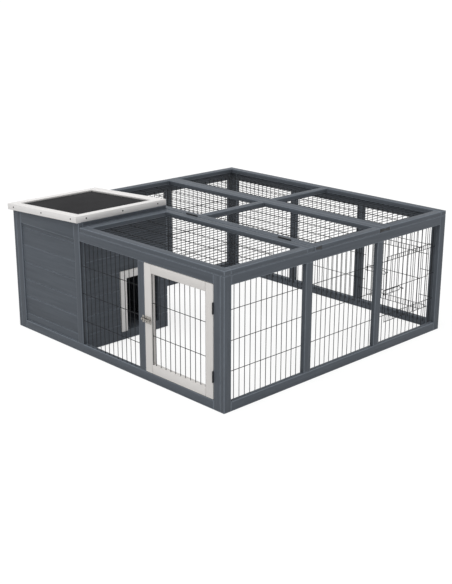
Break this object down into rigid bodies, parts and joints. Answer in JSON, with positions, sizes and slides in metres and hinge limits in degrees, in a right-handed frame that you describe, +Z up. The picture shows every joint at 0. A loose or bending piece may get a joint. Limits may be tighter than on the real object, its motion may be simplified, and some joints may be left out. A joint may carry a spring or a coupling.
{
  "type": "outdoor rabbit run",
  "caption": "Low square timber run closed with welded wire mesh, with a hinged lid, a side door, wire gates and a boarded corner house under a hinged sloping roof.",
  "frame": {"origin": "centre of the footprint's bounding box, on the ground", "axes": "+Z up, +Y from the front wall with the door and house to the back wall, +X from the house's outer side to the open side"},
  "size_m": [1.2268, 1.2168, 0.5295],
  "materials": {
    "frame_paint": "softwood with satin grey paint",
    "door_paint": "softwood with satin ivory paint",
    "trim_paint": "softwood with satin white paint",
    "roof_felt": "matt bituminous roofing felt with a fine mineral grain",
    "mesh_wire": "dark welded steel wire",
    "dark_wire_latch": "dark bent steel wire",
    "dark_steel": "dark stamped steel",
    "bright_steel": "plated steel"
  },
  "bodies": {
    "run": {"front_left_stile": "frame_paint", "front_house_post": "frame_paint", "front_mid_post": "frame_paint", "front_right_stile": "frame_paint", "front_bottom_rail": "frame_paint", "front_top_rail": "frame_paint", "front_gable_board": "frame_paint", "right_front_stile": "frame_paint", "right_front_post": "frame_paint", "right_rear_post": "frame_paint", "right_rear_stile": "frame_paint", "right_bottom_rail": "frame_paint", "right_top_rail": "frame_paint", "back_frame": "frame_paint", "back_left_post": "frame_paint", "back_right_post": "frame_paint", "left_frame": "frame_paint", "left_front_post": "frame_paint", "left_rear_post": "frame_paint", "front_mesh": "mesh_wire", "right_mesh": "mesh_wire", "back_mesh": "mesh_wire", "left_mesh": "mesh_wire", "house_front_boards": "frame_paint", "house_left_boards": "frame_paint", "house_back_wall": "frame_paint", "house_side_wall": "frame_paint", "house_floor": "frame_paint", "doorway_trim": "trim_paint", "middle_lid_frame": "frame_paint", "middle_lid_mesh": "mesh_wire", "rear_lid_frame": "frame_paint", "rear_lid_mesh": "mesh_wire", "tie_plate": "dark_steel", "door_lower_hinge_fixed_leaf": "dark_steel", "door_upper_hinge_fixed_leaf": "dark_steel", "bolt_keeper": "bright_steel", "lid_left_hinge_fixed_leaf": "dark_steel", "lid_right_hinge_fixed_leaf": "dark_steel", "roof_left_hinge_fixed_leaf": "dark_steel", "roof_right_hinge_fixed_leaf": "dark_steel"},
    "door": {"door_frame": "door_paint", "door_mesh": "mesh_wire", "door_lower_hinge_moving_leaf": "dark_steel", "door_upper_hinge_moving_leaf": "dark_steel", "bolt_plate": "bright_steel"},
    "bolt": {"bolt": "bright_steel"},
    "front_lid": {"front_lid_frame": "frame_paint", "front_lid_mesh": "mesh_wire", "lid_left_hinge_moving_leaf": "dark_steel", "lid_right_hinge_moving_leaf": "dark_steel"},
    "roof": {"roof_deck": "frame_paint", "roof_felt": "roof_felt", "roof_trim": "trim_paint", "roof_left_hinge_moving_leaf": "dark_steel", "roof_right_hinge_moving_leaf": "dark_steel"},
    "right_gate": {"right_gate": "mesh_wire"},
    "right_gate_latch": {"right_gate_latch": "dark_wire_latch"},
    "back_gate": {"back_gate": "mesh_wire"},
    "back_gate_latch": {"back_gate_latch": "dark_wire_latch"}
  },
  "joints": [
    {"name": "door_hinge", "type": "hinge", "parent": "run", "child": "door", "pos_m": [0.56039, -0.59435, 0.236], "axis": [0, 0, 1], "range_deg": [0, 120]},
    {"name": "bolt_slide", "type": "slide", "parent": "door", "child": "bolt", "axis": [-1, 0, 0], "range_m": [0, 0.012]},
    {"name": "front_lid_hinge", "type": "hinge", "parent": "run", "child": "front_lid", "pos_m": [0.23039, -0.16555, 0.4928], "axis": [-1, 0, 0], "range_deg": [0, 180]},
    {"name": "roof_hinge", "type": "hinge", "parent": "run", "child": "roof", "pos_m": [-0.37211, -0.16555, 0.4928], "axis": [-1, 0, 0], "range_deg": [0, 95]},
    {"name": "right_gate_hinge", "type": "hinge", "parent": "run", "child": "right_gate", "pos_m": [0.59234, 0.53745, 0.236], "axis": [0, 0, 1], "range_deg": [0, 120]},
    {"name": "right_gate_latch_slide", "type": "slide", "parent": "right_gate", "child": "right_gate_latch", "axis": [0, -1, 0], "range_m": [0, 0.015]},
    {"name": "back_gate_hinge", "type": "hinge", "parent": "run", "child": "back_gate", "pos_m": [0.52259, 0.5889, 0.196], "axis": [0, 0, -1], "range_deg": [0, 120]},
    {"name": "back_gate_latch_slide", "type": "slide", "parent": "back_gate", "child": "back_gate_latch", "axis": [-1, 0, 0], "range_m": [0, 0.015]}
  ]
}
